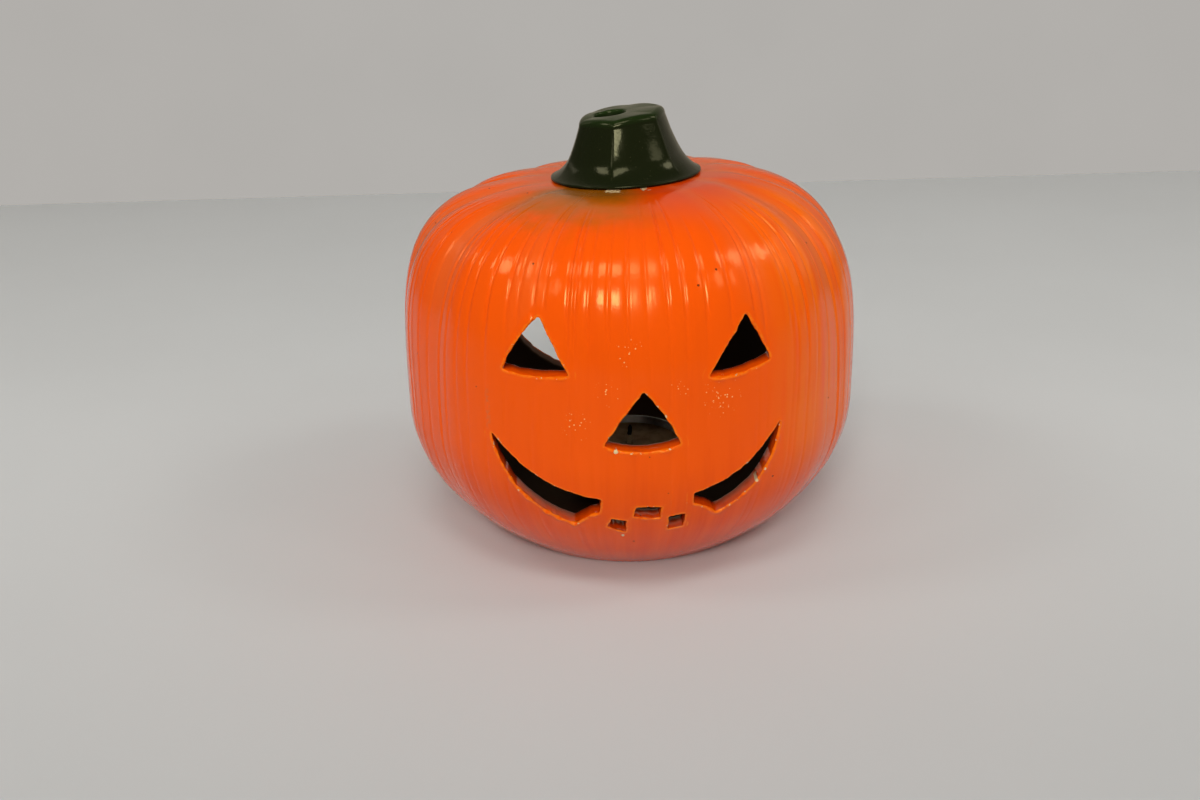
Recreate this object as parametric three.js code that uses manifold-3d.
// Jack-o-lantern candle holder: a slip-cast pumpkin with a cut face, an open back and a hollow
// stem, and the tealight that stands in it. Millimetres, +Z up, the face towards -Y. Each piece is
// drawn about the pumpkin's own axis, with its foot on z = 0.
import * as THREE from 'three';
import { mergeVertices } from 'three/addons/utils/BufferGeometryUtils.js';
import Module from 'manifold-3d';

const wasm = await Module();
wasm.setup();

// Gap between two pieces where one rests on or in the other
const SEAT_GAP = 0.3;

// Pumpkin body, outside
const BODY_RADIUS = 76;
const WIDEST_HEIGHT = 47.5;
const CROWN_HEIGHT = 119;
// The crown is flattened at this height, where the stem is luted on
const CROWN_SEAT_HEIGHT = 118.1;
// Roundness of the upper half: 2 gives an ellipse, more gives squarer shoulders
const SHOULDER_POWER = 3.79;
const FOOT_RADIUS = 46;
const FOOT_FLARE = THREE.MathUtils.degToRad(38);
const FOOT_HANDLE = 13.5;
const BELLY_HANDLE = 26;
// The crown rises by this much per millimetre towards +X
const CROWN_TILT = 0.04;

// Pumpkin body, clay thickness and foot ring
const WALL = 6;
const FLOOR = 6;
const FLOOR_CORNER = 5;
const FOOT_WIDTH = 7;
const FOOT_RECESS = 3;

// Lobes: shallow valleys that run from the stem to the foot, calmer over the face
const LOBES = 13;
const LOBE_DEPTH = 1.8;
const LOBE_SHARPNESS = 2.5;
const LOBE_CROWN_FADE = 28;
const LOBE_FOOT_FADE = 16;
const LOBE_BELLY_SHARE = 0.35;
const LOBE_INSIDE_SHARE = 0.6;
const FACE_SHARE = 0.2;
const FACE_CALM_ANGLE = THREE.MathUtils.degToRad(22);
const FACE_EDGE_ANGLE = THREE.MathUtils.degToRad(58);

// Cut-outs of the face, cut straight back along Y. Each corner is [x, z, bow of the edge that
// leaves it], anticlockwise as seen from the front, and a bow stands outwards where positive.
const LEFT_EYE = [[-40.4, 75, 1], [-21.2, 75.2, 0], [-29.2, 91.4, 1.1]];
const RIGHT_EYE = [[18.9, 73.8, 1.1], [37.7, 75.8, 0.4], [29.9, 90.4, 0.2]];
const NOSE = [[-11.7, 54.2, 1.9], [10.6, 54.3, 0.9], [-0.1, 70.7, 0.3]];
const MOUTH_LEFT = [
  [-44.7, 54.3, 5.4], [-20.4, 26.1, 0], [-16.1, 30.4, 0], [-13.1, 31.4, 0], [-12.8, 36.5, -3.7],
];
const MOUTH_RIGHT = [
  [15, 37.6, 0], [14.8, 33.8, 0], [19.3, 31.4, 0], [21.7, 28.7, 4.9], [41.4, 55.9, -3.3],
];
const TOOTH_HOLES = [
  [[-11.2, 25.6, 0], [-5.5, 23.2, 0], [-5.1, 28.2, 0], [-9.6, 29.1, 0]],
  [[-3.1, 30, 0], [4.7, 29.1, 0], [5.5, 33.5, 0], [-2.5, 33.6, 0]],
  [[7.4, 23.7, 0], [11.9, 24.9, 0], [12.6, 30.2, 0], [7.4, 29.2, 0]],
];

// Opening in the back, where the tealight goes in: an ellipse between the sill and the crown band
const BACK_HALF_WIDTH = 44;
const BACK_SILL_HEIGHT = 24;
const BACK_CROWN_BAND = 23;

// Every cut starts this far from the axis, inside the hollow
const CUT_START = 20;

// Stem: a hollow cap luted on the crown, with a slanted top and a vent for the heat
const STEM_HEIGHT = 20.1;
const STEM_FOOT_RADIUS = 24.5;
const STEM_FOOT_EDGE = 0.7;
const STEM_TOP_RADIUS = 14.6;
const STEM_TOP_ROUND = 2.4;
// Handles of the curve between the foot edge and the top
const STEM_FLARE_RADIUS = 20.2;
const STEM_FLARE_HEIGHT = 2.1;
const STEM_WAIST_RADIUS = 17.5;
const STEM_WAIST_HEIGHT = 10;
// The top lies this far to the side of the foot, and rises to the right and to the back
const STEM_LEAN = -0.3;
const STEM_SLANT = 0.082;
const STEM_BACK_SLANT = 0.027;
// The sides are round at the foot and flatten as they rise: 1 makes them quite flat
const STEM_SIDES = 6;
const STEM_SIDE_FLATNESS = 0.5;
const STEM_FLATNESS_START = 0.35;
const STEM_SIDE_TURN = THREE.MathUtils.degToRad(-14.5);
// The rim dips at each corner between two sides
const STEM_CORNER_DIP = 0.8;
const STEM_LAND = 9;
const STEM_WALL = 4.3;
const STEM_ROOF = 5;
const VENT_RADIUS = 5;
const VENT_OFFSET = -4.4;
// The hole through the crown is this much smaller than the hollow of the stem
const CROWN_LIP = 1.5;

// Tealight: an aluminium cup with a rolled rim, wax, a wick and the tab that holds the wick
const CUP_RADIUS = 18.6;
const CUP_HEIGHT = 16;
const CUP_WALL = 0.4;
const CUP_CHAMFER = 1.5;
const CUP_RIM = 0.6;
const WAX_DEPTH = 12.5;
const WAX_MENISCUS = 0.6;
const WAX_MENISCUS_WIDTH = 3;
const WICK_RADIUS = 0.8;
const WICK_PROUD = 7;
const TAB_RADIUS = 6;
const TAB_THICKNESS = 0.4;
const TAB_NECK_HEIGHT = 3.5;

// Faceting: samples round each lobe and up each half of the body
const LOBE_SAMPLES = 8;
const LOWER_RINGS = 8;
const UPPER_RINGS = 13;
const STEM_COLUMNS = 48;
const TEALIGHT_COLUMNS = 40;
const FACE_CURVE_STEPS = 6;
const BACK_CURVE_STEPS = 20;

const bodyColumns = LOBES * LOBE_SAMPLES;
const floorTop = FOOT_RECESS + FLOOR;
const stemHollowFoot = STEM_FOOT_RADIUS - STEM_LAND;
const { smoothstep, lerp, euclideanModulo } = THREE.MathUtils;

const vector = (x, y) => new THREE.Vector2(x, y);

// A profile of [radius, height] pairs or vectors turned about the Z axis, bottom to top
function turned(profile, columns) {
  const points = profile.map((p) => (p.isVector2 ? p : vector(p[0], p[1])));
  return new THREE.LatheGeometry(points, columns).rotateX(Math.PI / 2);
}

// Moves each vertex of a geometry by a function that edits it in place
function reshaped(geometry, edit) {
  const position = geometry.getAttribute('position');
  const point = new THREE.Vector3();
  for (let i = 0; i < position.count; i += 1) {
    edit(point.fromBufferAttribute(position, i));
    position.setXYZ(i, point.x, point.y, point.z);
  }
  return geometry;
}

function solidOf(geometry) {
  const bare = geometry.clone();
  bare.deleteAttribute('normal');
  bare.deleteAttribute('uv');
  const merged = mergeVertices(bare);
  return new wasm.Manifold(new wasm.Mesh({
    numProp: 3,
    vertProperties: merged.getAttribute('position').array,
    triVerts: new Uint32Array(merged.index.array),
  }));
}

function geometryOf(solid) {
  const { vertProperties, triVerts } = solid.getMesh();
  const geometry = new THREE.BufferGeometry();
  geometry.setAttribute('position', new THREE.BufferAttribute(vertProperties, 3));
  geometry.setIndex(new THREE.BufferAttribute(triVerts, 1));
  geometry.computeVertexNormals();
  return geometry;
}

// The blank with each of the cutters taken out of it
function cutFrom(blank, cutters) {
  const pieces = cutters.map(solidOf);
  return geometryOf(pieces.reduce((left, cutter) => left.subtract(cutter), solidOf(blank)));
}

// Half outline of the body from the foot ring up to the crown
function bodyOutline() {
  const lower = new THREE.CubicBezierCurve(
    vector(FOOT_RADIUS, 0),
    vector(FOOT_RADIUS + FOOT_HANDLE * Math.cos(FOOT_FLARE), FOOT_HANDLE * Math.sin(FOOT_FLARE)),
    vector(BODY_RADIUS, WIDEST_HEIGHT - BELLY_HANDLE),
    vector(BODY_RADIUS, WIDEST_HEIGHT),
  );
  const points = lower.getPoints(LOWER_RINGS);
  for (let ring = 1; ring < UPPER_RINGS; ring += 1) {
    const turn = (ring / UPPER_RINGS) * (Math.PI / 2);
    const rise = (CROWN_HEIGHT - WIDEST_HEIGHT) * Math.sin(turn) ** (2 / SHOULDER_POWER);
    points.push(vector(
      BODY_RADIUS * Math.cos(turn) ** (2 / SHOULDER_POWER),
      Math.min(WIDEST_HEIGHT + rise, CROWN_SEAT_HEIGHT),
    ));
  }
  return [...points, vector(0, CROWN_SEAT_HEIGHT)];
}

// The outline moved inwards by the clay's thickness, with a round corner down to the floor
function hollowOutline() {
  const outline = bodyOutline();
  const inner = outline.slice(1, -1).map((point, i) => {
    const along = outline[i + 2].clone().sub(outline[i]).normalize();
    return vector(point.x - WALL * along.y, point.y + WALL * along.x);
  });
  const side = inner.filter((point) => point.y > floorTop + FLOOR_CORNER && point.x > 0);
  const corner = new THREE.QuadraticBezierCurve(
    vector(side[0].x - 2 * FLOOR_CORNER, floorTop),
    vector(side[0].x - FLOOR_CORNER, floorTop),
    side[0],
  );
  const crown = vector(0, CROWN_SEAT_HEIGHT - WALL);
  return [vector(0, floorTop), ...corner.getPoints(3), ...side.slice(1), crown];
}

// How deep the valleys lie at an angle from the face, a height and a distance from the axis
function valleyDepth(angle, height, radius) {
  const valley = (0.5 + 0.5 * Math.cos(LOBES * angle)) ** LOBE_SHARPNESS;
  const shoulder = smoothstep(height, WIDEST_HEIGHT, CROWN_HEIGHT - WALL);
  const foot = smoothstep(height, floorTop, floorTop + LOBE_FOOT_FADE);
  const crown = smoothstep(radius, STEM_FOOT_RADIUS, STEM_FOOT_RADIUS + LOBE_CROWN_FADE);
  const face = lerp(FACE_SHARE, 1, smoothstep(Math.abs(angle), FACE_CALM_ANGLE, FACE_EDGE_ANGLE));
  return LOBE_DEPTH * valley * lerp(LOBE_BELLY_SHARE, 1, shoulder) * foot * crown * face;
}

// Presses the valleys in towards the middle of the body and tilts the crown
function lobed(geometry, share) {
  const middle = new THREE.Vector3(0, 0, WIDEST_HEIGHT);
  return reshaped(geometry, (point) => {
    const radius = Math.hypot(point.x, point.y);
    const depth = share * valleyDepth(Math.atan2(point.x, -point.y), point.z, radius);
    const top = smoothstep(point.z, WIDEST_HEIGHT, CROWN_HEIGHT - WALL - STEM_ROOF);
    const rise = CROWN_TILT * point.x * top * (1 - smoothstep(radius, STEM_FOOT_RADIUS, BODY_RADIUS));
    const reach = point.distanceTo(middle);
    point.sub(middle).multiplyScalar(1 - depth / reach).add(middle);
    point.z += rise;
  });
}

// An outline of [x, z, bow] corners as a shape, with each bowed edge as one curve
function outlineShape(corners) {
  const shape = new THREE.Shape();
  shape.moveTo(corners[0][0], corners[0][1]);
  corners.forEach(([x, z, bow], i) => {
    const [nextX, nextZ] = corners[(i + 1) % corners.length];
    const length = Math.hypot(nextX - x, nextZ - z);
    const middleX = (x + nextX) / 2 + (2 * bow * (nextZ - z)) / length;
    const middleZ = (z + nextZ) / 2 - (2 * bow * (nextX - x)) / length;
    if (bow === 0) shape.lineTo(nextX, nextZ);
    else shape.quadraticCurveTo(middleX, middleZ, nextX, nextZ);
  });
  return shape;
}

// A shape drawn in X and Z, pushed through the wall from y towards -Y
function cutter(shape, y, curveSegments) {
  const settings = { depth: BODY_RADIUS, bevelEnabled: false, curveSegments };
  return new THREE.ExtrudeGeometry(shape, settings).rotateX(Math.PI / 2).translate(0, y, 0);
}

function backOpening() {
  const top = CROWN_HEIGHT - BACK_CROWN_BAND;
  const halfHeight = (top - BACK_SILL_HEIGHT) / 2;
  const shape = new THREE.Shape();
  shape.absellipse(0, BACK_SILL_HEIGHT + halfHeight, BACK_HALF_WIDTH, halfHeight, 0, 2 * Math.PI);
  return shape;
}

function pumpkinShell() {
  const blank = lobed(turned([[0, 0], ...bodyOutline()], bodyColumns), 1);
  const hollow = lobed(turned(hollowOutline(), bodyColumns / 2), LOBE_INSIDE_SHARE);
  const footRadius = FOOT_RADIUS - FOOT_WIDTH;
  const recess = turned(
    [[0, -1], [footRadius + 1, -1], [footRadius - 1, FOOT_RECESS], [0, FOOT_RECESS]],
    bodyColumns / 2,
  );
  const crownHole = turned(
    [[0, CROWN_HEIGHT - 2 * WALL], [stemHollowFoot - CROWN_LIP, CROWN_HEIGHT - 2 * WALL],
      [stemHollowFoot - CROWN_LIP, CROWN_HEIGHT + WALL], [0, CROWN_HEIGHT + WALL]],
    STEM_COLUMNS,
  );
  const face = [LEFT_EYE, RIGHT_EYE, NOSE, MOUTH_LEFT, MOUTH_RIGHT, ...TOOTH_HOLES];
  const faceCuts = face.map((corners) => cutter(outlineShape(corners), -CUT_START, FACE_CURVE_STEPS));
  const back = cutter(backOpening(), BODY_RADIUS + CUT_START, BACK_CURVE_STEPS);
  return cutFrom(blank, [hollow, recess, crownHole, back, ...faceCuts]);
}

// Half outline of the stem: a thin luted edge, a flare, and a rounded top
function stemOutline() {
  const flare = new THREE.CubicBezierCurve(
    vector(STEM_FOOT_RADIUS, STEM_FOOT_EDGE),
    vector(STEM_FLARE_RADIUS, STEM_FLARE_HEIGHT),
    vector(STEM_WAIST_RADIUS, STEM_WAIST_HEIGHT),
    vector(STEM_TOP_RADIUS, STEM_HEIGHT - STEM_TOP_ROUND),
  );
  const round = new THREE.EllipseCurve(
    STEM_TOP_RADIUS - STEM_TOP_ROUND, STEM_HEIGHT - STEM_TOP_ROUND,
    STEM_TOP_ROUND, STEM_TOP_ROUND, 0, Math.PI / 2,
  );
  return [
    vector(0, 0), vector(STEM_FOOT_RADIUS, 0), ...flare.getPoints(8),
    ...round.getPoints(4).slice(1), vector(0, STEM_HEIGHT),
  ];
}

// Flattens the sides of the stem, dips its corners at the rim, slants its top and leans it
function sided(geometry) {
  const side = (2 * Math.PI) / STEM_SIDES;
  return reshaped(geometry, (point) => {
    const share = point.z / STEM_HEIGHT;
    const radius = Math.hypot(point.x, point.y);
    const angle = Math.atan2(point.x, -point.y) - STEM_SIDE_TURN;
    const fromMiddle = euclideanModulo(angle, side) - side / 2;
    const flat = Math.cos(side / 2) / Math.cos(fromMiddle);
    const narrowing = lerp(1, flat, STEM_SIDE_FLATNESS * smoothstep(share, 0, STEM_FLATNESS_START));
    const rim = smoothstep(radius, VENT_RADIUS, STEM_TOP_RADIUS) * smoothstep(share, STEM_FLATNESS_START, 1);
    point.x *= narrowing;
    point.y *= narrowing;
    point.z += share * (STEM_SLANT * point.x + STEM_BACK_SLANT * point.y);
    point.z -= STEM_CORNER_DIP * rim * (fromMiddle / (side / 2)) ** 2;
    point.x += STEM_LEAN * share;
  });
}

function stem() {
  const hollow = turned(
    [[0, -1], [stemHollowFoot, -1], [stemHollowFoot, 0],
      [STEM_TOP_RADIUS - STEM_WALL, STEM_HEIGHT - STEM_ROOF], [0, STEM_HEIGHT - STEM_ROOF]],
    STEM_COLUMNS,
  );
  const vent = new THREE.CylinderGeometry(VENT_RADIUS, VENT_RADIUS, STEM_HEIGHT, STEM_COLUMNS / 2);
  vent.rotateX(Math.PI / 2).translate(VENT_OFFSET, 0, STEM_HEIGHT);
  const blank = turned(stemOutline(), STEM_COLUMNS).rotateZ(STEM_SIDE_TURN);
  return cutFrom(sided(blank), [hollow, vent]);
}

function tealightCup() {
  const inner = CUP_RADIUS - CUP_WALL;
  return turned([
    [0, 0], [CUP_RADIUS - CUP_CHAMFER, 0], [CUP_RADIUS, CUP_CHAMFER],
    [CUP_RADIUS, CUP_HEIGHT - 2 * CUP_RIM], [CUP_RADIUS + CUP_RIM, CUP_HEIGHT - CUP_RIM],
    [CUP_RADIUS + CUP_RIM / 2, CUP_HEIGHT], [inner, CUP_HEIGHT],
    [inner, CUP_CHAMFER + CUP_WALL], [inner - CUP_CHAMFER, CUP_WALL], [0, CUP_WALL],
  ], TEALIGHT_COLUMNS);
}

// Heights and radii inside the cup that the wax, the tab and the wick share
const cupBed = CUP_WALL + SEAT_GAP;
const waxTop = CUP_WALL + WAX_DEPTH;
const tabBore = WICK_RADIUS + SEAT_GAP;
const neckRadius = tabBore + TAB_THICKNESS;

function tealightWax() {
  const outside = CUP_RADIUS - CUP_WALL - SEAT_GAP;
  const overTab = cupBed + TAB_THICKNESS + SEAT_GAP;
  const overNeck = cupBed + TAB_NECK_HEIGHT + SEAT_GAP;
  const ring = [
    [TAB_RADIUS + SEAT_GAP, cupBed], [outside - CUP_CHAMFER, cupBed], [outside, cupBed + CUP_CHAMFER],
    [outside, waxTop + WAX_MENISCUS], [outside - WAX_MENISCUS_WIDTH, waxTop], [tabBore, waxTop],
    [tabBore, overNeck], [neckRadius + SEAT_GAP, overNeck], [neckRadius + SEAT_GAP, overTab],
    [TAB_RADIUS + SEAT_GAP, overTab],
  ];
  return turned([...ring, ring[0]], TEALIGHT_COLUMNS);
}

function wickTab() {
  const ring = [
    [tabBore, cupBed], [TAB_RADIUS, cupBed], [TAB_RADIUS, cupBed + TAB_THICKNESS],
    [neckRadius, cupBed + TAB_THICKNESS], [neckRadius, cupBed + TAB_NECK_HEIGHT],
    [tabBore, cupBed + TAB_NECK_HEIGHT],
  ];
  return turned([...ring, ring[0]], TEALIGHT_COLUMNS / 2);
}

function wick() {
  const tip = waxTop + WICK_PROUD;
  return turned([
    [0, cupBed], [WICK_RADIUS, cupBed], [WICK_RADIUS, tip - WICK_RADIUS],
    [WICK_RADIUS / 2, tip], [0, tip],
  ], TEALIGHT_COLUMNS / 4);
}

function finish(color, roughness, metalness = 0) {
  return new THREE.MeshStandardMaterial({ color, roughness, metalness });
}

function piece(name, geometry, material) {
  const mesh = new THREE.Mesh(geometry, material);
  mesh.name = name;
  return mesh;
}

const orangeGlaze = finish(0xe1500a, 0.3);
const greenGlaze = finish(0x141c0e, 0.15);
const aluminium = finish(0xc9cacc, 0.3, 1);
const paraffin = finish(0xf2efe4, 0.5);
const tin = finish(0xb4b4b0, 0.35, 1);
const cotton = finish(0xe6dfcb, 0.9);

const stemSeat = new THREE.Group();
stemSeat.position.z = CROWN_SEAT_HEIGHT + SEAT_GAP;
stemSeat.rotation.y = -Math.atan(CROWN_TILT);
stemSeat.add(piece('stem', stem(), greenGlaze));

const tealight = new THREE.Group();
tealight.position.z = floorTop + SEAT_GAP;
tealight.add(
  piece('tealight_cup', tealightCup(), aluminium),
  piece('tealight_wax', tealightWax(), paraffin),
  piece('wick_tab', wickTab(), tin),
  piece('wick', wick(), cotton),
);

const holder = new THREE.Group();
holder.add(piece('pumpkin_shell', pumpkinShell(), orangeGlaze), stemSeat, tealight);

// The open back leaves the body longer in front of its axis than behind it, so the axis is set
// back until the origin is the bottom centre of the overall box
holder.updateMatrixWorld(true);
const box = new THREE.Box3().setFromObject(holder, true);
holder.position.y = -(box.min.y + box.max.y) / 2;

export default holder;
